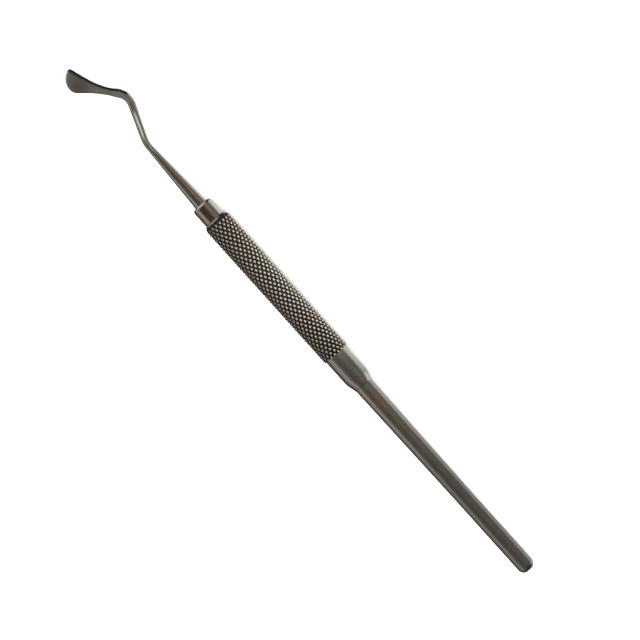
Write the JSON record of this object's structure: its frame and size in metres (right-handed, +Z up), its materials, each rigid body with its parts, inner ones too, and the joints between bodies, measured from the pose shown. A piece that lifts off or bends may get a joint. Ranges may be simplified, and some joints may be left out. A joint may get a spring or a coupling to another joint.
{
  "type": "dental elevator",
  "caption": "Single-ended steel dental elevator: fan-shaped blade on a twice-bent tapering shank, turned collar, diamond-knurled grip and slim round tail.",
  "frame": {"origin": "on the surface the instrument lies on, under the centre of its bounding box", "axes": "+X along the handle's axis towards the working end, +Z up, instrument lying on its knurl and second bend"},
  "size_m": [0.1664, 0.0084, 0.0072],
  "materials": {
    "polished_steel": "polished",
    "bright_steel": "turned and polished",
    "knurled_steel": "knurled, polished crests",
    "satin_steel": "fine satin"
  },
  "bodies": {
    "root": {"working_end": "polished_steel", "front_collar": "bright_steel", "knurled_grip": "knurled_steel", "tail_rod": "satin_steel"}
  },
  "joints": []
}
